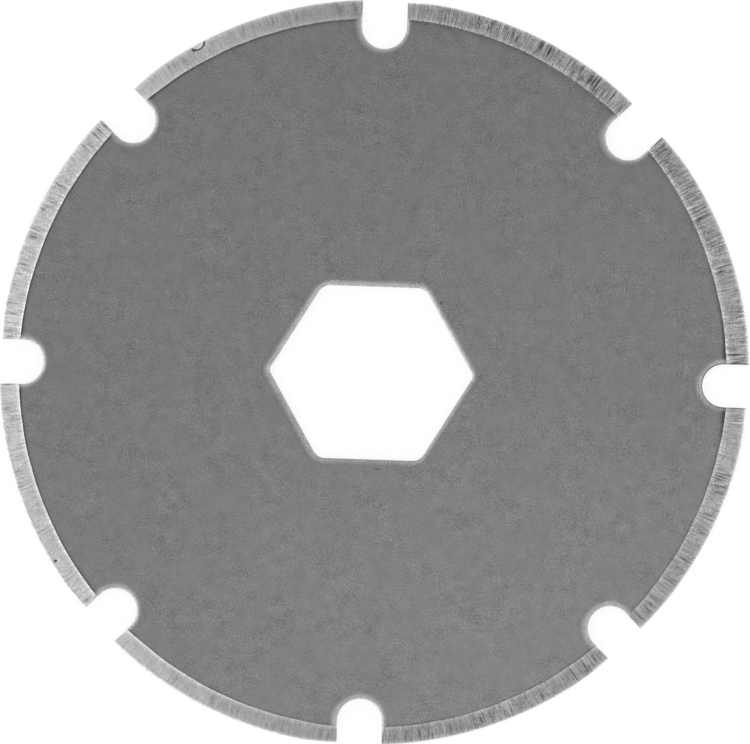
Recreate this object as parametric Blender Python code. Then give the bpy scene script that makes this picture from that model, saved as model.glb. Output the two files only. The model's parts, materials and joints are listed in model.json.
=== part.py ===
"""Perforating rotary cutter blade: a thin steel disc, ground sharp all round and broken by notches.

It is stamped from sheet as one piece and then ground on both faces. The origin is the middle of the
hexagon bore at mid-thickness, +Z is the axis that the blade turns on, and two corners of the bore and
two notches lie on the X axis. All sizes are in metres.
"""

import math

import bmesh
import bpy
from mathutils import Matrix, Vector

MM = 0.001

# The ground disc
BLADE_DIAMETER = 28.0 * MM
SHEET_THICKNESS = 0.30 * MM
BEVEL_WIDTH = 0.70 * MM

# Grinding left the rim off the bore's centre and out of round, and the flat face off centre too
RIM_RUNOUT_X = 0.075 * MM
RIM_RUNOUT_Y = 0.040 * MM
RIM_SWELL = 0.045 * MM
RIM_SWELL_ANGLE = math.radians(29.0)
FACE_RUNOUT_X = 0.03 * MM

# The hexagon bore: a little long along X, with two crisp tips there and four softer shoulders
BORE_ACROSS_FLATS = 6.49 * MM
BORE_ACROSS_CORNERS = 7.70 * MM
BORE_TIP_RADIUS = 0.30 * MM
BORE_SHOULDER_RADIUS = 0.50 * MM

# The notches that leave gaps in the cut
NOTCH_COUNT = 8
NOTCH_WIDTH = 1.70 * MM
NOTCH_DEPTH = 1.73 * MM

# Each notch was punched by itself: how far it is turned and how much deeper it is, in these steps
STRAY_TURN = math.radians(0.1)
STRAY_DEPTH = 0.01 * MM
NOTCH_STRAYS = ((-2, -14), (-5, 3), (-2, 9), (3, 6), (0, -4), (-3, -2), (0, 3), (0, 1))

# The rounded lip where the punch drew the upper face down
LIP_WIDTH = 0.18 * MM
LIP_DEPTH = 0.04 * MM

# The flake that has broken out of the upper bevel
CHIP_ANGLE = math.radians(120.3)
CHIP_LENGTH = 0.55 * MM
CHIP_WIDTH = 0.20 * MM
CHIP_DEPTH = 0.02 * MM
CHIP_FROM_EDGE = 0.02 * MM

# How finely the round stretches are divided
RIM_FACETS = 288
NOTCH_ROOT_FACETS = 24
BORE_CORNER_FACETS = 6
LIP_FACETS = 4
CHIP_FINENESS = 3

# How far a cutter reaches past what it cuts
CUTTER_OVERRUN = 0.5 * MM

# Edges that turn more than this stay crisp when shaded
CRISP_ANGLE = math.radians(40.0)

BLADE_RADIUS = BLADE_DIAMETER / 2
FACE_HEIGHT = SHEET_THICKNESS / 2
FACE_RADIUS = BLADE_RADIUS - BEVEL_WIDTH
FACE_CENTRE = Vector((FACE_RUNOUT_X, 0.0))
RIM_CENTRE = Vector((RIM_RUNOUT_X, RIM_RUNOUT_Y))

FINISHES = ("rolled_steel", "ground_bevel", "punched_edge")
ROLLED, GROUND, PUNCHED = range(len(FINISHES))


def clear_scene():
    for obj in list(bpy.data.objects):
        bpy.data.objects.remove(obj, do_unlink=True)


def steel(name, grey, roughness):
    material = bpy.data.materials.new(name)
    material.use_nodes = True
    shader = material.node_tree.nodes["Principled BSDF"]
    shader.inputs["Base Color"].default_value = (grey, grey, grey, 1.0)
    shader.inputs["Metallic"].default_value = 1.0
    shader.inputs["Roughness"].default_value = roughness
    material.diffuse_color = (grey, grey, grey, 1.0)
    return material


def steel_finishes():
    """The three finishes of the blade, in the order of FINISHES."""
    rolled = steel(FINISHES[ROLLED], grey=0.38, roughness=0.42)
    ground = steel(FINISHES[GROUND], grey=0.58, roughness=0.30)
    punched = steel(FINISHES[PUNCHED], grey=0.48, roughness=0.35)
    return rolled, ground, punched


def direction(angle):
    return Vector((math.cos(angle), math.sin(angle)))


def arc(centre, radius, start, end, facets):
    """Points along an arc, both ends included."""
    steps = (start + (end - start) * i / facets for i in range(facets + 1))
    return [centre + radius * direction(angle) for angle in steps]


def swelled(radius, swell, angle):
    """The radius at an angle of a circle that grinding left a little out of round."""
    return radius + swell * math.cos(2 * (angle - RIM_SWELL_ANGLE))


def ground_ring(centre, radius, swell=0.0):
    """Points all round the disc, at even angles about the ring's own centre."""
    angles = (2 * math.pi * i / RIM_FACETS for i in range(RIM_FACETS))
    return [centre + swelled(radius, swell, angle) * direction(angle) for angle in angles]


def rounded_corner(corner, before, after, radius, facets):
    """The arc that rounds one corner of an outline that runs anticlockwise."""
    incoming = (corner - before).normalized()
    outgoing = (after - corner).normalized()
    turn = incoming.angle_signed(outgoing) * -1
    inward = (outgoing - incoming).normalized()
    centre = corner + inward * (radius / math.cos(turn / 2))
    start = math.atan2(incoming.y, incoming.x) - math.pi / 2
    return arc(centre, radius, start, start + turn, facets)


def bore_outline(grow):
    """The hexagon with rounded corners, moved outwards by grow."""
    half_flats = BORE_ACROSS_FLATS / 2
    half_corners = BORE_ACROSS_CORNERS / 2
    side_lean = math.atan2(half_flats, half_corners / 2)
    tall = half_flats + grow
    reach = half_corners + grow / math.sin(side_lean)
    shoulder = reach - tall / math.tan(side_lean)
    corners = [
        Vector((reach, 0.0)),
        Vector((shoulder, tall)),
        Vector((-shoulder, tall)),
        Vector((-reach, 0.0)),
        Vector((-shoulder, -tall)),
        Vector((shoulder, -tall)),
    ]
    points = []
    for i, corner in enumerate(corners):
        after = corners[(i + 1) % len(corners)]
        radius = BORE_TIP_RADIUS if corner.y == 0.0 else BORE_SHOULDER_RADIUS
        points += rounded_corner(corner, corners[i - 1], after, radius + grow, BORE_CORNER_FACETS)
    return points


def notch_outline(index, grow):
    """A slot with a round root, open past the rim, turned to its place round the blade."""
    turn_steps, depth_steps = NOTCH_STRAYS[index % len(NOTCH_STRAYS)]
    angle = 2 * math.pi * index / NOTCH_COUNT + turn_steps * STRAY_TURN
    depth = NOTCH_DEPTH + depth_steps * STRAY_DEPTH
    half_width = NOTCH_WIDTH / 2
    root_centre = Vector((BLADE_RADIUS - depth + half_width, 0.0))
    mouth = BLADE_RADIUS + RIM_CENTRE.length + CUTTER_OVERRUN
    root = arc(root_centre, half_width + grow, math.pi / 2, 3 * math.pi / 2, NOTCH_ROOT_FACETS)
    slot = [Vector((mouth, half_width + grow)), *root, Vector((mouth, -half_width - grow))]
    turned = Matrix.Rotation(angle, 2)
    return [turned @ point for point in slot]


def punch_levels():
    """Heights of a punch's rings and how far each stands out from the wall that it cuts.

    The wall is upright up to the lip, which is a quarter of an ellipse. Its last facet runs on in a
    straight line above the face, so that the cut leaves the face at the lip's full width.
    """
    lip_foot = FACE_HEIGHT - LIP_DEPTH
    levels = [(-FACE_HEIGHT - CUTTER_OVERRUN, 0.0)]
    for i in range(LIP_FACETS + 1):
        rise = math.pi / 2 * i / LIP_FACETS
        levels.append((lip_foot + LIP_DEPTH * math.sin(rise), LIP_WIDTH * (1 - math.cos(rise))))
    before_height, before_grow = levels[-2]
    last_height, last_grow = levels.pop()
    levels.append((2 * last_height - before_height, 2 * last_grow - before_grow))
    levels.append((FACE_HEIGHT + CUTTER_OVERRUN, levels[-1][1]))
    return levels


def add_loft(bm, rings, side_finish, cap_finish):
    """A closed solid through rings of equal length, each an outline and its height, bottom first."""
    loops = [[bm.verts.new((*point, height)) for point in outline] for outline, height in rings]
    for below, above in zip(loops, loops[1:]):
        for i in range(len(below)):
            j = (i + 1) % len(below)
            side = bm.faces.new((below[i], below[j], above[j], above[i]))
            side.material_index = side_finish
    bm.faces.new(reversed(loops[0])).material_index = cap_finish
    bm.faces.new(loops[-1]).material_index = cap_finish


def new_object(name, bm, materials):
    mesh = bpy.data.meshes.new(name)
    bm.to_mesh(mesh)
    bm.free()
    for material in materials:
        mesh.materials.append(material)
    obj = bpy.data.objects.new(name, mesh)
    bpy.context.scene.collection.objects.link(obj)
    return obj


def ground_disc(materials):
    """The blank: two flat faces and two bevels that meet in the sharp rim."""
    bm = bmesh.new()
    face = ground_ring(FACE_CENTRE, FACE_RADIUS)
    rim = ground_ring(RIM_CENTRE, BLADE_RADIUS, RIM_SWELL)
    rings = [(face, -FACE_HEIGHT), (rim, 0.0), (face, FACE_HEIGHT)]
    add_loft(bm, rings, side_finish=GROUND, cap_finish=ROLLED)
    return new_object("blade", bm, materials)


def bore_punch(materials):
    bm = bmesh.new()
    rings = [(bore_outline(grow), height) for height, grow in punch_levels()]
    add_loft(bm, rings, side_finish=PUNCHED, cap_finish=PUNCHED)
    return new_object("bore_punch", bm, materials)


def notch_punches(materials):
    bm = bmesh.new()
    for i in range(NOTCH_COUNT):
        rings = [(notch_outline(i, grow), height) for height, grow in punch_levels()]
        add_loft(bm, rings, side_finish=PUNCHED, cap_finish=PUNCHED)
    return new_object("notch_punches", bm, materials)


def chip_scoop(materials):
    """A flat ball centred on the upper bevel, as long, wide and deep as the flake."""
    outward = direction(CHIP_ANGLE)
    rim = swelled(BLADE_RADIUS, RIM_SWELL, CHIP_ANGLE) + RIM_CENTRE.dot(outward)
    seam = FACE_RADIUS + FACE_CENTRE.dot(outward)
    slope = math.atan2(FACE_HEIGHT, rim - seam)
    from_edge = CHIP_FROM_EDGE + CHIP_WIDTH / 2
    across = outward * (rim - from_edge * math.cos(slope))
    centre = Vector((*across, from_edge * math.sin(slope)))
    placed = (
        Matrix.Translation(centre)
        @ Matrix.Rotation(CHIP_ANGLE, 4, "Z")
        @ Matrix.Rotation(slope, 4, "Y")
        @ Matrix.Diagonal((CHIP_WIDTH / 2, CHIP_LENGTH / 2, CHIP_DEPTH, 1.0))
    )
    bm = bmesh.new()
    bmesh.ops.create_icosphere(bm, subdivisions=CHIP_FINENESS, radius=1.0, matrix=placed)
    for face in bm.faces:
        face.material_index = PUNCHED
    return new_object("chip_scoop", bm, materials)


def cut(blank, cutter):
    cutter.hide_render = True
    cutter.display_type = "WIRE"
    modifier = blank.modifiers.new(cutter.name, "BOOLEAN")
    modifier.operation = "DIFFERENCE"
    modifier.solver = "EXACT"
    modifier.material_mode = "INDEX"
    modifier.object = cutter


def apply_cuts(blank):
    """Makes the cuts permanent, with round stretches smooth and an edge wherever two finishes meet."""
    graph = bpy.context.evaluated_depsgraph_get()
    bm = bmesh.new()
    bm.from_object(blank, graph)
    for face in bm.faces:
        face.smooth = True
    for edge in bm.edges:
        finishes = {face.material_index for face in edge.link_faces}
        edge.smooth = len(finishes) == 1 and edge.calc_face_angle(0.0) < CRISP_ANGLE
    bm.to_mesh(blank.data)
    bm.free()
    blank.modifiers.clear()


def main():
    clear_scene()
    materials = steel_finishes()
    blade = ground_disc(materials)
    cutters = [bore_punch(materials), notch_punches(materials), chip_scoop(materials)]
    for cutter in cutters:
        cut(blade, cutter)
    apply_cuts(blade)
    for cutter in cutters:
        bpy.data.objects.remove(cutter, do_unlink=True)


main()
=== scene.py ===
"""Perforating rotary cutter blade: the fine surface of the ground steel disc, on a plain pale floor.

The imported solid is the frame. The blade is made again here with its grinding marks, its rolled-over
punched edges and its worn rim, in the same place and at the same size. All sizes are in metres.
"""

import json
import math
from collections import namedtuple

import bmesh
import bpy
from bpy.props import FloatProperty, FloatVectorProperty, IntProperty, PointerProperty
from bpy.types import NodeSocket, Operator, Panel, PropertyGroup
from mathutils import Matrix, Vector, noise


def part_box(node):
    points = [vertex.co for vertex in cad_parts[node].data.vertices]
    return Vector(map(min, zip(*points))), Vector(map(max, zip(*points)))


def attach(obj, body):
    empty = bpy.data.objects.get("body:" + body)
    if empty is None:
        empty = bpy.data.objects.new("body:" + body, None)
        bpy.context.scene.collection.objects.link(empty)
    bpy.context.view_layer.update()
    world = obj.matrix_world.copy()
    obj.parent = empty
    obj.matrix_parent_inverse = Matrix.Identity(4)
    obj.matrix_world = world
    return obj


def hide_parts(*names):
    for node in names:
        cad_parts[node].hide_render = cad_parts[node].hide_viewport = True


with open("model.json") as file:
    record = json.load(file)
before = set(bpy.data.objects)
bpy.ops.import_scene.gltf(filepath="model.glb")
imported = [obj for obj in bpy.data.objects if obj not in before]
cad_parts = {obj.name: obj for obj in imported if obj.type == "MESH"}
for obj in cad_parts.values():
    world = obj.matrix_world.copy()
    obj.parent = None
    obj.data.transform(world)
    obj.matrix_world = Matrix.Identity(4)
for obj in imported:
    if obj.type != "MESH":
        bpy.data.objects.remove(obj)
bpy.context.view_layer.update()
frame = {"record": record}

bl_info = {
    "name": "Rotary cutter blade",
    "version": (1, 0, 0),
    "blender": (4, 5, 0),
    "location": "3D View > Sidebar > Blade",
    "description": "Makes a perforating rotary cutter blade of ground steel and its photo stage",
    "category": "Add Mesh",
}

MM = 0.001

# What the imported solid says
NODE = "blade"
CAD_LOW, CAD_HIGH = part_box(NODE)
BORE_FLAT = next(m for m in frame["record"]["mounts"] if m["name"] == "bore_flat")

# Each notch was punched by itself: how far it is turned, how much deeper and how much wider it is
STRAY_TURN = math.radians(0.05)
STRAY_SIZE = 0.01 * MM
NOTCH_STRAYS = (
    (-4, -15, -9), (-13, 5, -2), (-5, 12, -1), (6, 10, -1),
    (3, -2, -3), (-4, -1, -4), (1, 3, -1), (0, -2, -4),
)

# The bore was punched a little off the middle of its own hub seat
BORE_SHIFT = Vector((0.006 * MM, -0.016 * MM))

# Each stretch of rim between two notches was ground by itself: how far its seam and its rim lie further
# out, at its start and its end
TRIM_STEP = 0.01 * MM
SEAM_TRIMS = ((-1, -1), (1, 1), (-2, -4), (-6, -5), (-7, 0), (-1, 3), (1, -5), (-7, 5))
RIM_TRIMS = ((11, -3), (-3, -2), (-1, 0), (-4, 7), (6, 1), (5, 6), (4, 1), (-5, 11))

# The rim's corners beside a notch are worn: how far in, and over which part of the stretch
CORNER_WEAR = (0.012 * MM, 0.052 * MM)
CORNER_PART = 0.20
WALL_PART = 0.077

# Rings of the mesh: how far inside the seam between face and bevel, then how far outside it
SEAM_INWARD = tuple(inward * MM for inward in (0.30, 0.19, 0.12, 0.075, 0.045, 0.02, 0.0))
SEAM_OUTWARD = tuple(outward * MM for outward in (0.02, 0.045))
BEVEL_RINGS = 10
EDGE_LAND = 0.04 * MM
COLUMN_PITCH = 0.056 * MM

# Steps across a punched lip, and the flat strip that keeps the face's normals true beside it
LIP_STEPS = 8
LIP_FOOT_SHARE = 1.35
LIP_GUARD = 0.42 * MM
LIP_COLUMNS = LIP_STEPS + 3
ROOT_FACETS = 48
CORNER_FACETS = 12
SIDE_FACETS = 24

# Heights down a punched wall, as shares from top to bottom, and how far the torn part stands back, which
# is less where the wall is lower than LOW_WALL
WALL_LEVELS = ((0.30, 0.0), (0.60, 0.0), (0.64, 0.004 * MM), (0.85, 0.003 * MM))
TORN_FROM = 2
LOW_WALL = 0.2 * MM

# The sheet drew sideways under the punch, so a lip is wider where it faces right and a little down
LIP_LEAN = Vector((0.28, -0.15))

# The bore's corners, as shares of its half length and half height
BORE_CORNERS = ((1.0, 0.0), (0.5, 1.0), (-0.5, 1.0), (-1.0, 0.0), (-0.5, -1.0), (0.5, -1.0))

# Relief of the ground surfaces
SEAM_STEP = 0.004 * MM
STEP_REACH = 0.015 * MM
SEAM_DENT = 0.004 * MM
DENT_REACH = 0.12 * MM
EDGE_RISE = 0.006 * MM
BREAK_SHARE = 0.35
BURR_CHAMFER = 0.01 * MM

# Noise round the blade, each kind with its swings in a radian, its seed and its weight: the wobble of
# the seam, and the patches of its painted shade line
SEAM_WOBBLE = 0.018 * MM
SEAM_WAVES = ((14.0, 3.1, 1.0), (50.0, 5.7, 0.4))
SEAM_PATCHES = ((9.0, 31.0, 0.35), (60.0, 37.0, 0.30))

# Grooves of the grinding, coarse and fine, each kind with its swings in a radian, what it adds to the
# seed, its change across the bevel and its weight. They lean a little, lie deeper in clusters, and fade
# out at the seam and at the rim
GROOVE_DEPTH = 0.003 * MM
GROOVE_FINENESS = 13.6 * MM / (0.15 * MM)
GROOVE_KINDS = ((GROOVE_FINENESS, 0.0, 1.3, 1.0), (1.8 * GROOVE_FINENESS, 4.0, 2.0, 0.6))
GROOVE_LEAN = 0.012
LEAN_FINENESS = 3.0
CLUSTER_FINENESS = 9.0
CLUSTER_DEPTHS = (0.45, 1.6)
GROOVE_FADES = (0.06, 0.05)
UPPER_SEED, LOWER_SEED = 20.0, 60.0

# How rough the grinding left each stretch of bevel, and how bright the painted highlight on its burr is at
# the seam
STRETCH_ROUGHNESS = (0.96, 1.08, 0.48, 0.75, 0.63, 0.46, 0.77, 0.84)
STRETCH_BURR_HIGHLIGHTS = (1.15, 0.85, 0.55, 0.9, 0.95, 0.95, 0.8, 0.5)

# Reach of the painted light and shade: the painted highlight over a lip, the painted shade line at its
# wall, the painted shade line and soft painted shade inside the seam, the painted highlight on the burr
# outside it and along the rim's land
BAND_SHARE = 1.2
WALL_LINE = (0.02 * MM, 0.06 * MM)
SEAM_LINE = 0.10 * MM
SEAM_SHADE = 0.40 * MM
BURR_REACH = 0.14 * MM
RIM_LAND = 0.22 * MM

# How the marks fade over their reach: evenly for 1, sooner for more and later for less
BAND_FADE = 0.95
LINE_FADE = 0.7
SHADE_FADE = 1.5
LAND_FADE = 2.0

# How dark the painted shade line in the seam's furrow is everywhere, what its left and its right side add,
# each with direction, spread and weight, and what each notch adds beside it
SEAM_DARKNESS = 0.25
DARK_SIDES = (
    (math.radians(158.0), math.radians(100.0), 0.7),
    (math.radians(3.0), math.radians(22.0), 0.55),
)
NOTCH_SHADE = 2.4 * MM
NOTCH_SHADES = (0.9, 0.25, 0.15, 0.25, 0.5, 0.2, 0.15, 0.2)

# Where a lip's painted highlight is narrower, and where it is weaker: the direction that the lip faces, its
# spread, and by what share
NARROW_SIDE = (math.radians(308.0), math.radians(52.0), 0.3)
LEFT_SIDE = (math.radians(160.0), math.radians(90.0), 0.4)

# How dark the painted shade line is at each notch's wall, and at the bore's: everywhere, and more where it
# faces up
NOTCH_SHADE_LINES = (0.9, 0.1, 0.25, 0.1, 0.05, 0.1, 0.15, 0.25)
BORE_SHADE_LINE = (0.15, 0.35)

# How dark the soft shade is inside the seam, everywhere and more at the top, and just past a lip that
# faces right, where it spreads over a share of the lip's width
FACE_SHADE = (0.30, 0.25)
LIP_SHADE = 0.3
LIP_SHADE_SHARE = 0.3

CRISP_ANGLE = math.radians(50.0)

FINISHES = ("rolled_face", "ground_bevel", "sheared_wall", "torn_wall")
ROLLED, GROUND, SHEARED, TORN = range(len(FINISHES))
# Vertex marks: painted highlights on lips, burr and rim; painted shade at the walls, in the seam's furrow
# and soft shade inside the seam; and the grinding's roughness
MARKS = ("lip", "wall_shade_line", "seam_shade_line", "shade", "burr", "rim", "rough")

Row = namedtuple("Row", "inward fraction")
Ring = namedtuple("Ring", "centre radius swell")
Notch = namedtuple("Notch", "angle middle half_width")
Place = namedtuple("Place", "point reach width facing row")
Dent = namedtuple("Dent", "angle from_edge length width depth")

# Small dark marks on the upper face beside the bore
FACE_SPOTS = (
    {"X": 2.53 * MM, "Y": 2.70 * MM, "Length": 0.22 * MM, "Width": 0.12 * MM, "Turn": 0.6, "Loss": 0.35},
    {"X": 0.34 * MM, "Y": -3.61 * MM, "Length": 0.30 * MM, "Width": 0.08 * MM, "Turn": 0.1, "Loss": 0.40},
)

# The flake out of the upper bevel and the pit by the rim, each with its mark: painted light and painted
# shade for the flake, a dark spot for the pit
FLAKE = Dent(math.radians(119.9), 0.12 * MM, 0.55 * MM, 0.20 * MM, 0.02 * MM)
FLAKE_LIGHT_AND_SHADE = {
    "X": -6.93 * MM, "Y": 12.08 * MM, "Length": 0.57 * MM, "Width": 0.40 * MM, "Turn": 0.62,
    "Loss": 0.85, "Gain": 0.45,
}
PIT = Dent(math.radians(212.8), 0.19 * MM, 0.12 * MM, 0.12 * MM, 0.018 * MM)
PIT_SPOT = {"X": -11.59 * MM, "Y": -7.46 * MM, "Length": 0.14 * MM, "Width": 0.13 * MM, "Loss": 0.9}


def length(name, description, default):
    return FloatProperty(name=name, description=description, default=default, unit="LENGTH", precision=5)


def rotation(name, description, default):
    return FloatProperty(name=name, description=description, default=default, unit="ROTATION")


def colour(name, description, default):
    return FloatVectorProperty(
        name=name, description=description, default=default, subtype="COLOR", size=3, min=0.0, max=1.0
    )


def share(name, description, default, highest=1.0):
    return FloatProperty(
        name=name, description=description, default=default, min=0.0, max=highest, subtype="FACTOR"
    )


class BladeSizes(PropertyGroup):
    """The driving sizes of the blade."""

    diameter: length("Diameter", "Across the sharp rim", 28.0 * MM)
    thickness: length("Thickness", "Of the sheet", CAD_HIGH.z - CAD_LOW.z)
    bevel_width: length("Bevel width", "Radial width of the ground bevel", 0.70 * MM)
    runout_x: length("Runout X", "How far the rim's centre lies off the bore's", 0.075 * MM)
    runout_y: length("Runout Y", "How far the rim's centre lies off the bore's", 0.040 * MM)
    swell: length("Swell", "How far the rim is out of round", 0.045 * MM)
    swell_angle: rotation("Swell angle", "Where the rim swells out", math.radians(29.0))
    face_runout: length("Face runout", "How far the face's centre lies off the bore's, on X", 0.03 * MM)
    across_flats: length("Bore across flats", "Height of the hexagon bore", 2 * abs(BORE_FLAT["pos_m"][1]))
    across_corners: length("Bore across corners", "Length of the hexagon bore", 7.70 * MM)
    tip_radius: length("Bore tip radius", "Rounding of the bore's two corners on X", 0.30 * MM)
    shoulder_radius: length("Bore shoulder radius", "Rounding of the bore's other corners", 0.50 * MM)
    notch_count: IntProperty(name="Notches", description="Gaps in the cut", default=8, min=2, max=24)
    notch_width: length("Notch width", "Gap that a notch leaves in the cut", 1.70 * MM)
    notch_depth: length("Notch depth", "From the rim to a notch's root", 1.73 * MM)
    lip_width: length("Lip width", "How far the punch drew the face down", 0.18 * MM)
    lip_depth: length("Lip depth", "How deep the punch drew the face down", 0.04 * MM)

    @property
    def radius(self):
        return self.diameter / 2

    @property
    def face_radius(self):
        return self.radius - self.bevel_width

    @property
    def half(self):
        return self.thickness / 2

    @property
    def face_centre(self):
        return Vector((self.face_runout, 0.0))

    @property
    def rim_centre(self):
        return Vector((self.runout_x, self.runout_y))

    def notch(self, index):
        """A notch's own place: its angle, the middle of its round root and its half width."""
        turned, deeper, wider = NOTCH_STRAYS[index % len(NOTCH_STRAYS)]
        angle = 2 * math.pi * index / self.notch_count + turned * STRAY_TURN
        depth = self.notch_depth + deeper * STRAY_SIZE
        half_width = (self.notch_width + wider * STRAY_SIZE) / 2
        return Notch(angle, self.radius - depth + half_width, half_width)


class BladeFinish(PropertyGroup):
    """The colours and surface marks of the steel."""

    face: colour("Rolled face", "Colour of the flat faces", (0.29, 0.29, 0.29))
    bevel: colour("Ground bevel", "Colour of the ground bevels", (0.55, 0.55, 0.55))
    wall: colour("Punched wall", "Colour of the sheared walls", (0.37, 0.37, 0.37))
    grain: share("Grain", "Strength of the mottled rolled grain", 1.15, 4.0)
    dashes: share("Dashes", "Darkness of the deep grinding marks", 0.64)
    streaks: share("Streaks", "Strength of the fine grinding streaks", 0.30)


class StageLook(PropertyGroup):
    """Floor, light and camera."""

    floor: colour("Floor", "Colour of the floor", (0.86, 0.86, 0.86))
    overhead: share("Overhead", "How bright the room is straight above", 0.25, 4.0)
    horizon: share("Horizon", "How bright the room is low down", 1.29, 4.0)
    lamps: share("Lamps", "Brightness of all the lamps together", 1.0, 4.0)
    roll: rotation("Roll", "How far the camera is turned about its view", math.radians(1.95))


def direction(angle):
    return Vector((math.cos(angle), math.sin(angle)))


def heading(vector):
    return math.atan2(vector.y, vector.x)


def ring_noise(angle, fineness, seed, along=0.0):
    """Noise round a ring without a join: fineness is how many swings there are in one radian."""
    return noise.noise(Vector((math.cos(angle) * fineness, math.sin(angle) * fineness, seed + along)))


def waves(angle, kinds):
    """The sum of several kinds of noise round a ring, each with its fineness, seed and weight."""
    return sum(weight * ring_noise(angle, fineness, seed) for fineness, seed, weight in kinds)


def blade_rows(sizes):
    """The rings of the mesh, from the flat face over the seam and down the bevel to the rim."""
    rows = [Row(inward, 0.0) for inward in SEAM_INWARD]
    rows += [Row(0.0, outward / sizes.bevel_width) for outward in SEAM_OUTWARD]
    start = rows[-1].fraction
    end = 1.0 - EDGE_LAND / sizes.bevel_width
    rows += [Row(0.0, start + (end - start) * (i + 1) / BEVEL_RINGS) for i in range(BEVEL_RINGS)]
    rows.append(Row(0.0, 1.0))
    return rows


def ring_of(sizes, row):
    """The ring of one row: face rings are round, and the rim's swell grows across the bevel."""
    centre = sizes.face_centre.lerp(sizes.rim_centre, row.fraction)
    inner = sizes.face_radius - row.inward
    radius = inner + (sizes.radius - inner) * row.fraction
    return Ring(centre, radius, sizes.swell * row.fraction)


def ring_radius(sizes, ring, angle):
    return ring.radius + ring.swell * math.cos(2 * (angle - sizes.swell_angle))


def crossing(sizes, notch, side, half, ring):
    """Where a ring meets a notch's outline, or a like outline that is half away from its axis."""
    centre = Matrix.Rotation(-notch.angle, 2) @ ring.centre
    radius = ring_radius(sizes, ring, notch.angle + side * half / ring.radius)
    across = side * half
    along = centre.x + math.sqrt(radius**2 - (across - centre.y) ** 2)
    if along >= notch.middle:
        return Vector((along, across))
    middle = Vector((notch.middle, 0.0))
    gap = (middle - centre).length
    ahead = (middle - centre) / gap
    foot = (radius**2 - half**2 + gap**2) / (2 * gap)
    rise = math.sqrt(radius**2 - foot**2)
    return centre + foot * ahead + side * rise * Vector((-ahead.y, ahead.x))


def outline_point(notch, turn, half):
    """A point of a notch's outline, seen from the middle of its root: straight ahead, round behind."""
    outward = direction(turn)
    if outward.x > 0.0:
        side = math.copysign(1.0, outward.y)
        return Vector((notch.middle + half * outward.x / abs(outward.y), side * half)), Vector((0.0, side))
    return Vector((notch.middle, 0.0)) + half * outward, outward


def lip_width(sizes, facing):
    return sizes.lip_width * (1.0 + LIP_LEAN.dot(facing))


def lip_reaches(width):
    """Distances from the wall at which a lip has points, closest together where it is steepest."""
    steps = [width * (1 - math.cos(math.pi / 2 * i / LIP_STEPS)) for i in range(LIP_STEPS + 1)]
    return steps + [width * LIP_FOOT_SHARE, LIP_GUARD]


def wall_facing(notch, side):
    return Matrix.Rotation(notch.angle, 2) @ Vector((0.0, -side))


def row_end(sizes, notch, side, row):
    """Places on one ring beside a notch, from its wall to past the lip."""
    ring = ring_of(sizes, row)
    turned = Matrix.Rotation(notch.angle, 2)
    facing = wall_facing(notch, side)
    width = lip_width(sizes, facing)
    places = []
    for reach in lip_reaches(width):
        point = crossing(sizes, notch, side, notch.half_width + reach, ring)
        places.append(Place(turned @ point, reach, width, facing, row))
    return places


def sector_row(sizes, sector, row):
    """Places on one ring between two notches, from wall to wall."""
    ring = ring_of(sizes, row)
    after = row_end(sizes, sizes.notch(sector), 1, row)
    before = row_end(sizes, sizes.notch(sector + 1), -1, row)
    start = after[-1].point - ring.centre
    turn = start.angle_signed(before[-1].point - ring.centre) * -1
    first = heading(start)
    count = round(2 * math.pi * sizes.radius / sizes.notch_count / COLUMN_PITCH)
    middle = []
    for i in range(1, count):
        angle = first + turn * i / count
        point = ring.centre + ring_radius(sizes, ring, angle) * direction(angle)
        middle.append(Place(point, LIP_GUARD, sizes.lip_width, direction(angle), row))
    return after + middle + before[::-1]


def root_stations(sizes, index, row):
    """Places round the root of a notch, each station a list from the wall to the flat face.

    They lie between the ends of the innermost ring, which may meet the notch on its round root.
    """
    notch = sizes.notch(index)
    ring = ring_of(sizes, row)
    turned = Matrix.Rotation(notch.angle, 2)
    stations = []
    for i in range(1, ROOT_FACETS):
        part = i / ROOT_FACETS
        _, into = outline_point(notch, math.pi / 2 + math.pi * part, notch.half_width)
        facing = turned @ -into
        width = lip_width(sizes, facing)
        station = []
        for reach in lip_reaches(width):
            half = notch.half_width + reach
            ends = []
            for side in (1, -1):
                end = crossing(sizes, notch, side, half, ring)
                ends.append(math.atan2(end.y, end.x - notch.middle) % (2 * math.pi))
            point, _ = outline_point(notch, ends[0] + (ends[1] - ends[0]) * part, half)
            station.append(Place(turned @ point, reach, width, facing, row))
        stations.append(station)
    return stations


def bore_frame(sizes):
    """Points of the rounded hexagon with the direction into the steel at each."""
    half_size = Vector((sizes.across_corners / 2, sizes.across_flats / 2))
    corners = [half_size * Vector(shares) for shares in BORE_CORNERS]
    rounded = []
    for i, corner in enumerate(corners):
        radius = sizes.tip_radius if corner.y == 0.0 else sizes.shoulder_radius
        incoming = (corner - corners[i - 1]).normalized()
        outgoing = (corners[(i + 1) % len(corners)] - corner).normalized()
        turn = incoming.angle_signed(outgoing) * -1
        inward = (outgoing - incoming).normalized()
        centre = corner + inward * (radius / math.cos(turn / 2))
        start = heading(incoming) - math.pi / 2
        bends = [direction(start + turn * j / CORNER_FACETS) for j in range(CORNER_FACETS + 1)]
        rounded.append([(centre + radius * bend, bend) for bend in bends])
    spots = []
    for i, arc in enumerate(rounded):
        spots += arc
        (end, into), (following, _) = arc[-1], rounded[(i + 1) % len(rounded)][0]
        spots += [(end.lerp(following, j / SIDE_FACETS), into) for j in range(1, SIDE_FACETS)]
    return [(spot + BORE_SHIFT, into) for spot, into in spots]


def bore_stations(sizes, row):
    """Places round the bore, each station a list from the wall to the flat face."""
    stations = []
    for point, into in bore_frame(sizes):
        width = lip_width(sizes, -into)
        reaches = lip_reaches(width)
        stations.append([Place(point + reach * into, reach, width, -into, row) for reach in reaches])
    return stations


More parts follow.
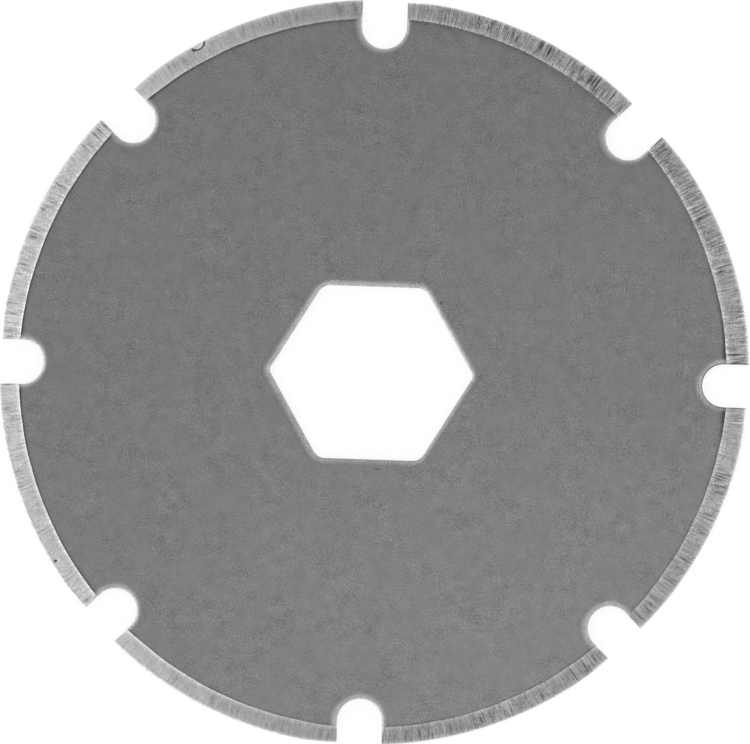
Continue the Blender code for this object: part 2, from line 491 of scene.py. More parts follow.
def eased(value):
    """A value held between 0 and 1, with soft ends."""
    value = min(1.0, max(0.0, value))
    return value * value * (3.0 - 2.0 * value)


def bump_round(angle, middle, spread, height=1.0):
    """The height in one direction, and 0 from spread away from it."""
    away = abs((angle - middle + math.pi) % (2 * math.pi) - math.pi)
    return height * eased(1.0 - away / spread)


def closeness(away, reach, fade=1.0):
    """1 at a line and 0 from its reach away."""
    return max(0.0, 1.0 - away / reach) ** fade


def turn_of(sizes, angle):
    """An angle counted in notches: whole at a notch's axis, and in between on a stretch of rim."""
    return angle % (2 * math.pi) / (2 * math.pi) * sizes.notch_count


def seam_share(row):
    """How much of the seam's wobble a ring takes part in."""
    if row.fraction == 0.0:
        return 1.0 - row.inward / SEAM_INWARD[0]
    return max(0.0, 1.0 - 2.0 * row.fraction)


def corner_wear(part):
    """How far the rim is worn back at a stretch's start and end."""
    worn = 0.0
    for wear, away in zip(CORNER_WEAR, (part, 1.0 - part)):
        worn += wear * eased((CORNER_PART - away) / (CORNER_PART - WALL_PART))
    return worn


def trim(sizes, row, angle):
    """How far the grinding of its own stretch moved a ring outward at an angle."""
    turn = turn_of(sizes, angle)
    stretch, part = int(turn), turn % 1.0
    seam, rim = SEAM_TRIMS[stretch % len(SEAM_TRIMS)], RIM_TRIMS[stretch % len(RIM_TRIMS)]
    at_seam = TRIM_STEP * (seam[0] + (seam[1] - seam[0]) * part)
    at_rim = TRIM_STEP * (rim[0] + (rim[1] - rim[0]) * part) - corner_wear(part)
    if row.fraction == 0.0:
        return at_seam * seam_share(row)
    return at_seam + (at_rim - at_seam) * row.fraction


def wobbled(sizes, place):
    """The place with the seam's slight unevenness and its stretch's trim added, outward or inward."""
    angle = heading(place.point)
    moved = SEAM_WOBBLE * waves(angle, SEAM_WAVES) * seam_share(place.row) + trim(sizes, place.row, angle)
    return place.point + place.point.normalized() * moved


def grinding(angle, fraction, seed):
    """Depth of the grinding marks, which run across the bevel and lean a little."""
    leaned = angle + GROOVE_LEAN * fraction * ring_noise(angle, LEAN_FINENESS, seed + 1.0)
    grooves = 0.0
    for fineness, added_seed, change, weight in GROOVE_KINDS:
        grooves += weight * ring_noise(leaned, fineness, seed + added_seed, change * fraction)
    least, more = CLUSTER_DEPTHS
    cluster = least + max(0.0, ring_noise(angle, CLUSTER_FINENESS, seed + 8.0)) * more
    at_seam, at_rim = GROOVE_FADES
    fade = min(1.0, fraction / at_seam, (1.0 - fraction) / at_rim)
    return GROOVE_DEPTH * cluster * fade * grooves


def dent_depth(sizes, dent, point):
    """How deep a flake or pit cuts the bevel at a point."""
    outward = direction(dent.angle)
    rim = ring_of(sizes, Row(0.0, 1.0))
    middle = rim.centre + outward * (ring_radius(sizes, rim, dent.angle) - dent.from_edge)
    offset = point - middle
    along = offset.dot(Vector((-outward.y, outward.x))) / (dent.length / 2)
    across = offset.dot(outward) / (dent.width / 2)
    inside = 1.0 - along**2 - across**2
    return dent.depth * math.sqrt(inside) if inside > 0.0 else 0.0


def bevel_height(sizes, row):
    """Height of the ground bevel: a step at the seam, the plain cone and the steeper edge land."""
    if row.fraction == 0.0:
        return sizes.half
    height = sizes.half * (1.0 - row.fraction)
    outward = row.fraction * sizes.bevel_width
    height -= SEAM_STEP * (1.0 - math.exp(-outward / STEP_REACH)) * seam_share(row)
    if row.fraction < 1.0:
        land = (1.0 - row.fraction) * sizes.bevel_width / EDGE_LAND
        height += EDGE_RISE / max(1.0, land)
    return height


def seam_dent(row):
    """Depth of the shallow furrow that the grinding left just inside the seam."""
    if row.fraction > 0.0 or row.inward > DENT_REACH:
        return 0.0
    return SEAM_DENT * math.sin(math.pi * row.inward / DENT_REACH) ** 2


def lip_fall(place):
    """How far down a lip has curved, from 0 on the flat face to 1 at the wall."""
    return 1.0 - math.sqrt(1.0 - closeness(place.reach, place.width) ** 2)


def upper_height(sizes, place):
    row, fall = place.row, lip_fall(place)
    face = sizes.half - sizes.lip_depth * fall - seam_dent(row)
    if row.fraction == 0.0:
        return face
    ground = bevel_height(sizes, row) - BREAK_SHARE * sizes.lip_depth * fall * (1.0 - row.fraction)
    ground -= grinding(heading(place.point), row.fraction, UPPER_SEED)
    ground -= dent_depth(sizes, FLAKE, place.point) + dent_depth(sizes, PIT, place.point)
    return min(face, ground)


def lower_height(sizes, place):
    row = place.row
    burr = BURR_CHAMFER * lip_fall(place) ** 4
    if row.fraction == 0.0:
        return burr - sizes.half
    ground = bevel_height(sizes, row) - grinding(heading(place.point), row.fraction, LOWER_SEED)
    return max(burr - sizes.half, burr * (1.0 - row.fraction) - ground)


def lip_band(place):
    """How deep a place lies in the painted highlight band over a lip, which is 1 at the wall."""
    band = BAND_SHARE * place.width * (1.0 - bump_round(heading(place.facing), *NARROW_SIDE))
    return closeness(place.reach, band, BAND_FADE)


def lip_painted_highlight(place):
    """The painted highlight over a lip, which stays lower at the wall where the lip faces left."""
    return min(lip_band(place), 1.0 - bump_round(heading(place.facing), *LEFT_SIDE))


def wall_painted_shade(sizes, place):
    """The thin painted shade line at a wall, deepest at the first notch, and in the bore where it faces up.
    """
    near, far = WALL_LINE
    if place.reach > far:
        return 0.0
    strength = NOTCH_SHADE_LINES[round(turn_of(sizes, heading(place.point))) % len(NOTCH_SHADE_LINES)]
    if place.point.length < sizes.across_corners:
        everywhere, facing_up = BORE_SHADE_LINE
        strength = everywhere + facing_up * max(0.0, place.facing.y)
    return strength * (1.0 - eased((place.reach - near) / (far - near)))


def notch_nearness(sizes, angle):
    """1 at a notch's axis and 0 from NOTCH_SHADE away along the seam, most of all at the first notch."""
    spread = NOTCH_SHADE / sizes.face_radius
    nearness = 0.0
    for index in range(sizes.notch_count):
        strength = NOTCH_SHADES[index % len(NOTCH_SHADES)]
        nearness = max(nearness, bump_round(angle, sizes.notch(index).angle, spread, strength))
    return nearness


def seam_painted_shade(sizes, place):
    """The painted shade line in the furrow: deepest on the left, right and beside the notches, and patchy
    elsewhere.
    """
    if place.row.fraction > 0.0:
        return 0.0
    angle = heading(place.point)
    beside_notch = notch_nearness(sizes, angle)
    sides = sum(bump_round(angle, *side) for side in DARK_SIDES)
    strength = SEAM_DARKNESS + waves(angle, SEAM_PATCHES) + sides + beside_notch
    line = closeness(place.row.inward, SEAM_LINE * (1.0 + beside_notch), LINE_FADE)
    return min(1.0, max(0.0, strength)) * line * (1.0 - lip_band(place))


def soft_shade(sizes, place):
    """The soft dark shade inside the seam and just past a lip that faces right."""
    faces_right = max(0.0, place.facing.x)
    from_foot = abs(place.reach - place.width * LIP_FOOT_SHARE)
    shade = LIP_SHADE * faces_right * closeness(from_foot, LIP_SHADE_SHARE * place.width)
    if place.row.fraction == 0.0:
        angle = heading(place.point)
        everywhere, at_top = FACE_SHADE
        strength = everywhere + at_top * math.sin(angle) + notch_nearness(sizes, angle)
        shade += closeness(place.row.inward, SEAM_SHADE, SHADE_FADE) * strength * (1.0 - lip_band(place))
    return min(1.0, shade)


def on_stretch(sizes, place, values):
    """The value of the stretch between two notches that a place lies on."""
    return values[int(turn_of(sizes, heading(place.point))) % len(values)]


def burr_painted_highlight(sizes, place):
    """The painted highlight line on the burr just outside the seam."""
    if place.row.inward > 0.0:
        return 0.0
    line = closeness(place.row.fraction * sizes.bevel_width, BURR_REACH, LINE_FADE)
    return on_stretch(sizes, place, STRETCH_BURR_HIGHLIGHTS) * line


def rim_painted_highlight(sizes, row):
    """The painted highlight along the land of the sharp rim."""
    return closeness((1.0 - row.fraction) * sizes.bevel_width, RIM_LAND, LAND_FADE)


def add_vertex(bm, layers, sizes, place, height, marked):
    vertex = bm.verts.new((*wobbled(sizes, place), height(sizes, place)))
    if marked:
        # Painted highlights and painted shade kept as vertex marks: lip, wall line and soft shade on the
        # upper side only
        vertex[layers["lip"]] = lip_painted_highlight(place)
        vertex[layers["wall_shade_line"]] = wall_painted_shade(sizes, place)
        vertex[layers["shade"]] = soft_shade(sizes, place)
    vertex[layers["seam_shade_line"]] = seam_painted_shade(sizes, place)
    vertex[layers["burr"]] = burr_painted_highlight(sizes, place)
    vertex[layers["rim"]] = rim_painted_highlight(sizes, place.row)
    vertex[layers["rough"]] = on_stretch(sizes, place, STRETCH_ROUGHNESS)
    return vertex


def skin(bm, chains, slot, closed=False):
    """Faces between neighbouring chains of vertices of equal length."""
    for near, far in zip(chains, chains[1:]):
        count = len(near)
        for i in range(count if closed else count - 1):
            j = (i + 1) % count
            ring = []
            for vertex in (near[i], near[j], far[j], far[i]):
                if vertex not in ring:
                    ring.append(vertex)
            if len(ring) > 2:
                bm.faces.new(ring).material_index = slot


Side = namedtuple("Side", "sectors roots bore")


def lay_side(bm, layers, sizes, rows, height, marked, rim=None):
    """The vertices of one side of the blade. The sharp rim is shared by both sides."""

    def laid(places):
        return [add_vertex(bm, layers, sizes, place, height, marked) for place in places]

    flat = rows[0]
    sectors = []
    for sector in range(sizes.notch_count):
        grid = [laid(sector_row(sizes, sector, row)) for row in rows[:-1]]
        grid.append(rim[sector] if rim else laid(sector_row(sizes, sector, rows[-1])))
        sectors.append(grid)
    roots = []
    for notch in range(sizes.notch_count):
        stations = [laid(station) for station in root_stations(sizes, notch, flat)]
        first = sectors[notch][0][:LIP_COLUMNS]
        last = sectors[notch - 1][0][-LIP_COLUMNS:][::-1]
        roots.append([first, *stations, last])
    bore = [laid(station) for station in bore_stations(sizes, flat)]
    return Side(sectors, roots, bore)


def skin_side(bm, side, rows):
    seam = SEAM_INWARD.index(0.0)
    for grid in side.sectors:
        skin(bm, grid[: seam + 1], ROLLED)
        skin(bm, grid[seam:], GROUND)
    for stations in side.roots:
        skin(bm, stations, ROLLED)
    skin(bm, side.bore + side.bore[:1], ROLLED)
    fill_face(bm, side)


def fill_face(bm, side):
    """The plain flat part of a face, between the bore's strip and the outer strips."""
    guard = LIP_COLUMNS - 1
    outer = []
    for sector, grid in enumerate(side.sectors):
        outer += grid[0][guard : len(grid[0]) - guard]
        roots = side.roots[(sector + 1) % len(side.roots)]
        outer += [station[-1] for station in reversed(roots[1:-1])]
    inner = [station[-1] for station in side.bore]
    edges = []
    for loop in (outer, inner):
        edges += [bm.edges.get((a, b)) for a, b in zip(loop, loop[1:] + loop[:1])]
    filled = bmesh.ops.triangle_fill(bm, edges=edges, use_beauty=True, normal=(0.0, 0.0, 1.0))
    for face in filled["geom"]:
        if isinstance(face, bmesh.types.BMFace):
            face.material_index = ROLLED


def wall_chains(bm, upper, lower, facings):
    """Chains of vertices down a punched wall, from the lip to the lower edge."""
    chains = [upper]
    for level, set_back in WALL_LEVELS:
        chain = []
        for top, bottom, facing in zip(upper, lower, facings):
            if top is bottom:
                chain.append(top)
                continue
            back = set_back * min(1.0, (top.co.z - bottom.co.z) / LOW_WALL)
            middle = top.co.lerp(bottom.co, level)
            chain.append(bm.verts.new((*(middle.xy - facing * back), middle.z)))
        chains.append(chain)
    chains.append(lower)
    return chains


def skin_wall(bm, chains, closed=False):
    skin(bm, chains[: TORN_FROM + 1], SHEARED, closed)
    skin(bm, chains[TORN_FROM:], TORN, closed)


def notch_outline(side, notch):
    """The vertices along a notch's wall, from the rim round the root and back to the rim."""
    grid, before = side.sectors[notch], side.sectors[notch - 1]
    down = [row[0] for row in reversed(grid)]
    root = [station[0] for station in side.roots[notch][1:-1]]
    up = [row[-1] for row in before]
    return down + root + up


def notch_facings(sizes, index, rows):
    notch = sizes.notch(index)
    turned = Matrix.Rotation(notch.angle, 2)
    root = [turned @ -direction(math.pi / 2 + math.pi * i / ROOT_FACETS) for i in range(1, ROOT_FACETS)]
    return [wall_facing(notch, 1)] * len(rows) + root + [wall_facing(notch, -1)] * len(rows)


def smooth_mesh(bm, name):
    """The finished mesh of a surface, with its faces turned outward."""
    bmesh.ops.recalc_face_normals(bm, faces=bm.faces)
    mesh = bpy.data.meshes.new(name)
    bm.to_mesh(mesh)
    bm.free()
    mesh.shade_smooth()
    return mesh


def blade_mesh(sizes):
    bm = bmesh.new()
    layers = {name: bm.verts.layers.float.new(name) for name in MARKS}
    rows = blade_rows(sizes)
    upper = lay_side(bm, layers, sizes, rows, upper_height, marked=True)
    rim = [grid[-1] for grid in upper.sectors]
    lower = lay_side(bm, layers, sizes, rows, lower_height, marked=False, rim=rim)
    for side in (upper, lower):
        skin_side(bm, side, rows)
    for notch in range(sizes.notch_count):
        facings = notch_facings(sizes, notch, rows)
        outlines = notch_outline(upper, notch), notch_outline(lower, notch)
        skin_wall(bm, wall_chains(bm, *outlines, facings))
    bore_walls = [[station[0] for station in side.bore] for side in (upper, lower)]
    facings = [-into for _, into in bore_frame(sizes)]
    skin_wall(bm, wall_chains(bm, *bore_walls, facings), closed=True)
    if any(not edge.is_manifold for edge in bm.edges):
        raise RuntimeError("the blade's surface isn't closed")
    mesh = smooth_mesh(bm, "rotary_blade")
    mesh.set_sharp_from_angle(angle=CRISP_ANGLE)
    return mesh


class Wiring:
    """Adds nodes to one tree and links them."""

    def __init__(self, tree):
        self.tree = tree
        self.column = 0

    def add(self, kind, inputs=None, **settings):
        node = self.tree.nodes.new(kind)
        node.location = (180 * self.column, 0)
        self.column += 1
        for name, value in settings.items():
            setattr(node, name, value)
        for name, value in (inputs or {}).items():
            self.feed(node.inputs[name], value)
        return node

    def feed(self, socket, value):
        if isinstance(value, NodeSocket):
            self.tree.links.new(value, socket)
        else:
            socket.default_value = value

    def maths(self, operation, *values):
        return self.add("ShaderNodeMath", dict(enumerate(values)), operation=operation).outputs["Value"]

    def plus(self, value, added):
        return self.maths("ADD", value, added)

    def less(self, value, taken):
        return self.maths("SUBTRACT", value, taken)

    def times(self, value, *factors):
        for factor in factors:
            value = self.maths("MULTIPLY", value, factor)
        return value

    def vector_maths(self, operation, *values, output="Vector"):
        node = self.add("ShaderNodeVectorMath", dict(enumerate(values)), operation=operation)
        return node.outputs[output]

    def vector(self, x, y, z=0.0):
        return self.add("ShaderNodeCombineXYZ", {"X": x, "Y": y, "Z": z}).outputs["Vector"]

    def parts(self, vector):
        return self.add("ShaderNodeSeparateXYZ", {"Vector": vector}).outputs

    def scaled(self, vector, factor):
        node = self.add("ShaderNodeVectorMath", {"Vector": vector, "Scale": factor}, operation="SCALE")
        return node.outputs["Vector"]

    def stretched(self, value, given, wanted=(0.0, 1.0)):
        """A value from one range spread over another, with soft ends."""
        names = ("Value", "From Min", "From Max", "To Min", "To Max")
        inputs = dict(zip(names, (value, *given, *wanted)))
        return self.add("ShaderNodeMapRange", inputs, interpolation_type="SMOOTHSTEP").outputs["Result"]

    def noise(self, vector, scale, detail=2.0, roughness=0.5):
        inputs = {"Vector": vector, "Scale": scale, "Detail": detail, "Roughness": roughness}
        return self.add("ShaderNodeTexNoise", inputs).outputs["Fac"]

    def place(self):
        return self.add("ShaderNodeTexCoord").outputs["Object"]

    def mark(self, name):
        return self.add("ShaderNodeAttribute", attribute_name=name).outputs["Fac"]


def new_group(name, inputs, outputs):
    """An empty shader node group with named number sockets."""
    tree = bpy.data.node_groups.new(name, "ShaderNodeTree")
    for label, default in inputs:
        socket = tree.interface.new_socket(label, in_out="INPUT", socket_type="NodeSocketFloat")
        socket.default_value = default
    for label in outputs:
        tree.interface.new_socket(label, in_out="OUTPUT", socket_type="NodeSocketFloat")
    wiring = Wiring(tree)
    start = wiring.add("NodeGroupInput")
    end = wiring.add("NodeGroupOutput")
    return tree, wiring, start.outputs, end.inputs


# Noise in the steel, in swings a metre: its grain, broad mottling and patches, and three ragged outlines
FINE_GRAIN = 14000.0
BROAD_GRAIN = 2600.0
GRAIN_PATCHES = 700.0
RAGGED_EDGES = 12000.0
RAGGED_SPOT = 20000.0
RAGGED_FLAKE = 9000.0

# Streaks of the grinding: how fine they are round the blade, how fast they change outwards, and their
# seed. The dark dashes lie more in the outer part of the bevel
Streaks = namedtuple("Streaks", "fineness change seed")
STREAK_CLUSTERS = Streaks(18.0, 900.0, 83.0)
DARK_DASHES = Streaks(170.0, 1300.0, 0.0)
FINE_STREAKS = Streaks(270.0, 1300.0, 40.0)
DASHES_FROM = (13.40 * MM, 13.65 * MM)
DARKEST_STREAK = 0.15

# The range of a mask that falls where its value rises
FALLING = (1.0, 0.0)


def steel_grain_group():
    """Fine mottled grain, rougher in some patches: a tone about 1 and a height from 0 to 1."""
    tree, w, given, out = new_group("steel_grain", [("Strength", 1.0)], ["Tone", "Height"])
    place = w.place()
    fine = w.noise(place, FINE_GRAIN, roughness=0.7)
    broad = w.noise(place, BROAD_GRAIN, detail=1.0)
    patches = w.stretched(w.noise(place, GRAIN_PATCHES, detail=1.0), (0.35, 0.65), (0.7, 1.3))
    swing = w.plus(w.less(fine, 0.5), w.times(w.less(broad, 0.5), 0.3))
    strength = w.times(patches, given["Strength"])
    w.feed(out["Tone"], w.plus(1.0, w.times(swing, strength)))
    w.feed(out["Height"], fine)
    return tree


def grinding_group():
    """Streaks that run outwards across the bevel, as deep as its roughness: a tone about 1 and a height."""
    inputs = [("Dark", 0.5), ("Fine", 0.3)]
    tree, w, given, out = new_group("grinding_marks", inputs, ["Tone", "Height"])
    parts = w.parts(w.place())
    flat = w.vector(parts["X"], parts["Y"])
    reach = w.vector_maths("LENGTH", flat, output="Value")
    outward = w.vector_maths("NORMALIZE", flat)

    def streaks(kind):
        around = w.parts(w.scaled(outward, kind.fineness))
        depth = w.plus(w.times(reach, kind.change), kind.seed)
        return w.noise(w.vector(around["X"], around["Y"], depth), 1.0, detail=1.0, roughness=0.6)

    cluster = w.stretched(streaks(STREAK_CLUSTERS), (0.42, 0.60), (0.25, 1.0))
    dashes = w.stretched(streaks(DARK_DASHES), (0.48, 0.66))
    dark = w.times(dashes, cluster, w.stretched(reach, DASHES_FROM, (0.35, 1.0)))
    fine = w.stretched(streaks(FINE_STREAKS), (0.30, 0.70), (-1.0, 1.0))
    rough = w.mark("rough")
    strength = w.times(rough, w.plus(0.3, w.times(cluster, 1.05)))
    change = w.less(w.times(fine, strength, given["Fine"]), w.times(dark, given["Dark"]))
    inside_rim = w.less(1.0, w.mark("rim"))
    tone = w.plus(1.0, w.times(change, w.times(rough, inside_rim)))
    w.feed(out["Tone"], w.maths("MAXIMUM", tone, DARKEST_STREAK))
    w.feed(out["Height"], w.less(1.0, dark))
    return tree


def edge_light_and_shade_group():
    """The painted light and shade along the blade's edges as one tone: three painted highlights lighten the
    steel and three painted shades darken it.
    """
    painted_highlights = {"Lip": "lip", "Burr": "burr", "Rim": "rim"}
    painted_shades = {"Wall": "wall_shade_line", "Seam": "seam_shade_line", "Shade": "shade"}
    inputs = [(name, 0.0) for name in (*painted_highlights, *painted_shades)]
    tree, w, given, out = new_group("edge_light_and_shade", inputs, ["Tone"])
    ragged = w.stretched(w.noise(w.place(), RAGGED_EDGES), (0.35, 0.65), (0.85, 1.15))
    tone = 1.0
    for name, mark in painted_highlights.items():
        tone = w.plus(tone, w.times(w.mark(mark), ragged, given[name]))
    for name, mark in painted_shades.items():
        tone = w.times(tone, w.less(1.0, w.times(w.mark(mark), given[name])))
    w.feed(out["Tone"], tone)
    return tree


OVAL_INPUTS = [
    ("X", 0.0), ("Y", 0.0), ("Length", 0.1 * MM), ("Width", 0.1 * MM), ("Turn", 0.0), ("Loss", 0.5)
]


def oval(w, given):
    """How far a place lies from the middle of an oval, which is 1 at its edge, and how far across it."""
    offset = w.vector_maths("SUBTRACT", w.place(), w.vector(given["X"], given["Y"]))
    inputs = {"Vector": offset, "Angle": w.times(given["Turn"], -1.0)}
    turned = w.add("ShaderNodeVectorRotate", inputs, rotation_type="Z_AXIS")
    parts = w.parts(turned.outputs["Vector"])
    along = w.maths("DIVIDE", parts["X"], w.times(given["Length"], 0.5))
    across = w.maths("DIVIDE", parts["Y"], w.times(given["Width"], 0.5))
    far = w.maths("SQRT", w.plus(w.maths("POWER", along, 2.0), w.maths("POWER", across, 2.0)))
    return far, across


def upper_side(w):
    """1 on the upper side of the blade and 0 on the lower."""
    return w.stretched(w.parts(w.place())["Z"], (0.0, 0.002 * MM))


def spot_group():
    """A soft dark spot on the steel: a tone that is 1 away from it."""
    tree, w, given, out = new_group("spot", OVAL_INPUTS, ["Tone"])
    far, _ = oval(w, given)
    ragged = w.plus(far, w.less(w.noise(w.place(), RAGGED_SPOT), 0.5))
    inside = w.stretched(ragged, (0.5, 1.2), FALLING)
    w.feed(out["Tone"], w.less(1.0, w.times(inside, upper_side(w), given["Loss"])))
    return tree


def flake_light_and_shade_group():
    """A flake at the rim: painted light inside, and painted shade along its step towards the blade's
    middle.
    """
    tree, w, given, out = new_group("flake", [*OVAL_INPUTS, ("Gain", 0.4)], ["Tone"])
    far, across = oval(w, given)
    far = w.plus(far, w.times(w.less(w.noise(w.place(), RAGGED_FLAKE), 0.5), 0.4))
    inside = w.stretched(far, (0.65, 0.85), FALLING)
    from_inside, to_outside = w.stretched(far, (0.70, 0.88)), w.stretched(far, (1.0, 1.2), FALLING)
    step = w.times(from_inside, to_outside, w.stretched(across, (-0.3, 0.1), FALLING))
    change = w.less(w.times(inside, given["Gain"]), w.times(step, given["Loss"]))
    w.feed(out["Tone"], w.plus(1.0, w.times(change, upper_side(w))))
    return tree


def shared_groups():
    return {
        "grain": steel_grain_group(),
        "grinding": grinding_group(),
        "edges": edge_light_and_shade_group(),
        "spot": spot_group(),
        "flake": flake_light_and_shade_group(),
    }


def placed(w, tree, values):
    """One use of a shared group with its own values."""
    return w.add("ShaderNodeGroup", values, node_tree=tree).outputs


# Height of the grain and the streaks on the faces, and how much stronger the grain is on the bevel
FACE_RELIEF = 0.001 * MM
BEVEL_GRAIN = 1.5

# The upper part of a punched wall, rubbed smooth by the punch, and the lower, where the steel tore
Wall = namedtuple("Wall", "finish roughness grain tone relief")
WALLS = (Wall(SHEARED, 0.30, 0.5, 1.0, 0.0015 * MM), Wall(TORN, 0.55, 1.0, 0.8, 0.006 * MM))


def new_steel(name, roughness):
    material = bpy.data.materials.new(name)
    material.use_nodes = True
    shader = material.node_tree.nodes["Principled BSDF"]
    shader.inputs["Metallic"].default_value = 1.0
    shader.inputs["Roughness"].default_value = roughness
    return material, Wiring(material.node_tree), shader.inputs


def bump(w, height, distance):
    return w.add("ShaderNodeBump", {"Height": height, "Distance": distance}).outputs["Normal"]


def rolled_face(groups, finish):
    """Matt rolled steel with a mottled grain, with painted highlights on the drawn-down lips and painted
    shade at the walls and seam.
    """
    material, w, shader = new_steel(FINISHES[ROLLED], roughness=0.40)
    grain = placed(w, groups["grain"], {"Strength": finish.grain})
    # Painted highlight on the lips and painted shade at the walls, in the seam's furrow and inside the seam
    edges = placed(w, groups["edges"], {"Lip": 1.4, "Wall": 0.9, "Seam": 0.8, "Shade": 0.3})
    tone = w.times(grain["Tone"], edges["Tone"])
    for spot in FACE_SPOTS:
        tone = w.times(tone, placed(w, groups["spot"], spot)["Tone"])
    w.feed(shader["Base Color"], w.scaled(tuple(finish.face), tone))
    w.feed(shader["Normal"], bump(w, grain["Height"], FACE_RELIEF))
    return material


def ground_bevel(groups, finish):
    """Bright ground steel with streaks across the bevel, and with more grain where it is rougher."""
    material, w, shader = new_steel(FINISHES[GROUND], roughness=0.32)
    strength = w.times(w.mark("rough"), BEVEL_GRAIN * finish.grain)
    grain = placed(w, groups["grain"], {"Strength": strength})
    streaks = placed(w, groups["grinding"], {"Dark": finish.dashes, "Fine": finish.streaks})
    # Painted highlights on the lips, burr and rim land, and painted shade at the walls and past the lips
    edges = placed(w, groups["edges"], {"Lip": 0.15, "Burr": 0.42, "Rim": 0.5, "Wall": 0.4, "Shade": 0.15})
    tone = w.times(grain["Tone"], w.times(streaks["Tone"], edges["Tone"]))
    tone = w.times(tone, placed(w, groups["spot"], PIT_SPOT)["Tone"])
    tone = w.times(tone, placed(w, groups["flake"], FLAKE_LIGHT_AND_SHADE)["Tone"])
    w.feed(shader["Base Color"], w.scaled(tuple(finish.bevel), tone))
    w.feed(shader["Normal"], bump(w, streaks["Height"], FACE_RELIEF))
    return material


def punched_wall(groups, finish, wall):
    """One part of a punched wall, sheared or torn."""
    material, w, shader = new_steel(FINISHES[wall.finish], wall.roughness)
    grain = placed(w, groups["grain"], {"Strength": wall.grain * finish.grain})
    w.feed(shader["Base Color"], w.scaled(tuple(wall.tone * part for part in finish.wall), grain["Tone"]))
    w.feed(shader["Normal"], bump(w, grain["Height"], wall.relief))
    return material


def linked(scene, name, data):
    """A new object in the scene."""
    item = bpy.data.objects.new(name, data)
    scene.collection.objects.link(item)
    return item


class BLADE_OT_make_blade(Operator):
    """Make the ground steel blade in place of the plain solid"""

    bl_idname = "blade.make_blade"
    bl_label = "Make blade"

    def execute(self, context):
        finish = context.scene.blade_finish
        mesh = blade_mesh(context.scene.blade_sizes)
        groups = shared_groups()
        mesh.materials.append(rolled_face(groups, finish))
        mesh.materials.append(ground_bevel(groups, finish))
        for wall in WALLS:
            mesh.materials.append(punched_wall(groups, finish, wall))
        blade = linked(context.scene, "rotary_blade", mesh)
        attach(blade, "root")
        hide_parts(NODE)
        return {"FINISHED"}


# The floor is flat round the blade and rises far out into a low bowl, which is the pale horizon
FLOOR_FLAT = 0.35
FLOOR_EDGE = 0.80
FLOOR_RISE = 0.30
FLOOR_RINGS = 16
FLOOR_SIDES = 96

# What the camera sees of it: its own glow, and a little of the shade on dark paper
FLOOR_GLOW = 0.86
FLOOR_SHADED = (0.17, 0.17, 0.17, 1.0)

# The heights, of a whole that is 1, between which the room turns from its horizon to its overhead tone
ROOM_HEIGHTS = (0.60, 0.97)

# Soft lamps round the blade: tilt from straight above and heading in degrees, size across in metres
Lamp = namedtuple("Lamp", "name tilt heading size brightness")
LAMP_DISTANCE = 0.6
LAMPS = (
    Lamp("overhead_lamp", 10.0, 300.0, 0.16, 2.70),
    Lamp("left_lamp", 40.0, 180.0, 0.30, 1.38),
    Lamp("near_left_lamp", 40.0, 225.0, 0.30, 0.91),
    Lamp("far_left_lamp", 24.0, 135.0, 0.22, 0.79),
    Lamp("right_lamp", 40.0, 0.0, 0.30, 0.73),
    Lamp("far_right_lamp", 24.0, 45.0, 0.22, 0.19),
)

# Picture, lens and where the rim's circle lies in the photograph
PICTURE_WIDTH, PICTURE_HEIGHT = 750, 744
RIM_MIDDLE_X, RIM_MIDDLE_Y = 373.3, 371.6
RIM_RADIUS = 373.0
LENS = 200.0
FILM_WIDTH = 36.0


def floor_mesh(level):
    bm = bmesh.new()
    rings = []
    for i in range(FLOOR_RINGS + 1):
        part = i / FLOOR_RINGS
        radius = FLOOR_FLAT + (FLOOR_EDGE - FLOOR_FLAT) * part
        height = level + FLOOR_RISE * part**2
        turn = 2 * math.pi / FLOOR_SIDES
        rings.append([bm.verts.new((*(radius * direction(turn * j)), height)) for j in range(FLOOR_SIDES)])
    bm.faces.new(rings[0])
    skin(bm, rings, 0, closed=True)
    return smooth_mesh(bm, "floor")


def bare_nodes(owner):
    """The wiring of a material or world without its first nodes."""
    owner.use_nodes = True
    owner.node_tree.nodes.clear()
    return Wiring(owner.node_tree)


def floor_paper(look):
    """White paper: it shows nearly white and keeps the blade's shadow."""
    material = bpy.data.materials.new("floor_paper")
    w = bare_nodes(material)
    paper = w.add("ShaderNodeBsdfDiffuse", {"Color": (*look.floor, 1.0)}).outputs["BSDF"]
    shaded = w.add("ShaderNodeBsdfDiffuse", {"Color": FLOOR_SHADED}).outputs["BSDF"]
    glow = w.add("ShaderNodeEmission", {"Strength": FLOOR_GLOW}).outputs["Emission"]
    white = w.add("ShaderNodeAddShader", {0: shaded, 1: glow}).outputs["Shader"]
    path = w.add("ShaderNodeLightPath").outputs
    seen = w.maths("MAXIMUM", path["Is Camera Ray"], path["Is Glossy Ray"])
    seen = w.maths("MAXIMUM", seen, path["Is Transmission Ray"])
    mixed = w.add("ShaderNodeMixShader", {"Fac": seen, 1: paper, 2: white}).outputs["Shader"]
    w.add("ShaderNodeOutputMaterial", {"Surface": mixed})
    return material


def soft_room(look):
    """A room that is greyer straight above than low down."""
    world = bpy.data.worlds.new("soft_room")
    w = bare_nodes(world)
    height = w.parts(w.add("ShaderNodeTexCoord").outputs["Generated"])["Z"]
    strength = w.stretched(height, ROOM_HEIGHTS, (look.horizon, look.overhead))
    light = w.add("ShaderNodeBackground", {"Strength": strength}).outputs["Background"]
    w.add("ShaderNodeOutputWorld", {"Surface": light})
    return world


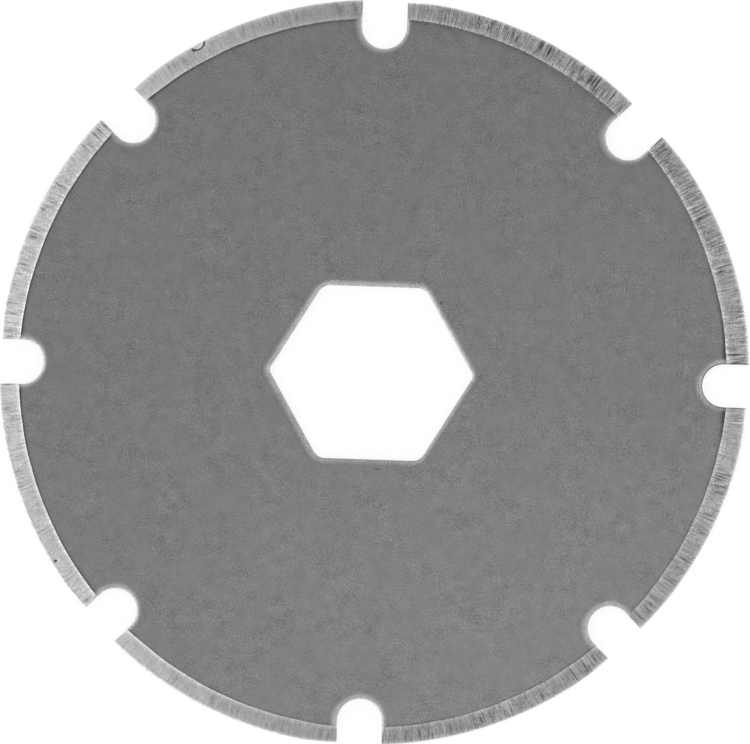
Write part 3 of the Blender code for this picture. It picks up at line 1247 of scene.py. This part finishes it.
def soft_lamp(scene, spot, strength):
    """A round lamp that faces the blade. Its brightness is that of its surface."""
    tilt, turn = math.radians(spot.tilt), math.radians(spot.heading)
    place = LAMP_DISTANCE * Vector((*(math.sin(tilt) * direction(turn)), math.cos(tilt)))
    lamp = bpy.data.lights.new(spot.name, "AREA")
    lamp.shape = "DISK"
    lamp.size = spot.size
    lamp.energy = strength * spot.brightness * math.pi**2 * (spot.size / 2) ** 2
    holder = linked(scene, spot.name, lamp)
    holder.location = place
    holder.rotation_euler = (-place).to_track_quat("-Z", "Y").to_euler()


def overhead_camera(scene, sizes, look):
    """Looks straight down, so that the rim lies in the picture where the photograph has it."""
    pixel = sizes.radius / RIM_RADIUS
    camera = bpy.data.cameras.new("camera")
    camera.lens = LENS
    camera.sensor_width = FILM_WIDTH
    distance = PICTURE_WIDTH * pixel * LENS / FILM_WIDTH
    offset = Vector((RIM_MIDDLE_X - PICTURE_WIDTH / 2, PICTURE_HEIGHT / 2 - RIM_MIDDLE_Y)) * pixel
    middle = sizes.rim_centre - Matrix.Rotation(look.roll, 2) @ offset
    camera.clip_start = distance * 0.1
    camera.clip_end = distance * 100.0
    holder = linked(scene, "camera", camera)
    holder.location = (*middle, distance)
    holder.rotation_euler = (0.0, 0.0, look.roll)
    scene.camera = holder


class BLADE_OT_make_stage(Operator):
    """Make the pale floor, the soft light and the camera"""

    bl_idname = "blade.make_stage"
    bl_label = "Make stage"

    def execute(self, context):
        scene = context.scene
        sizes, look = scene.blade_sizes, scene.blade_stage
        mesh = floor_mesh(-sizes.half)
        mesh.materials.append(floor_paper(look))
        floor = linked(scene, "floor", mesh)
        scene.world = soft_room(look)
        for spot in LAMPS:
            soft_lamp(scene, spot, look.lamps)
        overhead_camera(scene, sizes, look)
        scene.view_settings.view_transform = "Standard"
        return {"FINISHED"}


class BLADE_PT_sidebar(Panel):
    """Lists the blade's sizes, finish and stage"""

    bl_label = "Rotary cutter blade"
    bl_idname = "BLADE_PT_sidebar"
    bl_space_type = "VIEW_3D"
    bl_region_type = "UI"
    bl_category = "Blade"

    def draw(self, context):
        for group_name in GROUPS:
            group = getattr(context.scene, group_name)
            box = self.layout.box()
            for name in group.__annotations__:
                box.prop(group, name)
        self.layout.operator(BLADE_OT_make_blade.bl_idname)
        self.layout.operator(BLADE_OT_make_stage.bl_idname)


GROUPS = {"blade_sizes": BladeSizes, "blade_finish": BladeFinish, "blade_stage": StageLook}
CLASSES = (*GROUPS.values(), BLADE_OT_make_blade, BLADE_OT_make_stage, BLADE_PT_sidebar)


def register():
    for item in CLASSES:
        bpy.utils.register_class(item)
    for name, group in GROUPS.items():
        setattr(bpy.types.Scene, name, PointerProperty(type=group))


def unregister():
    for name in GROUPS:
        delattr(bpy.types.Scene, name)
    for item in reversed(CLASSES):
        bpy.utils.unregister_class(item)


def main():
    register()
    bpy.ops.blade.make_blade()
    bpy.ops.blade.make_stage()


if __name__ == "__main__":
    main()
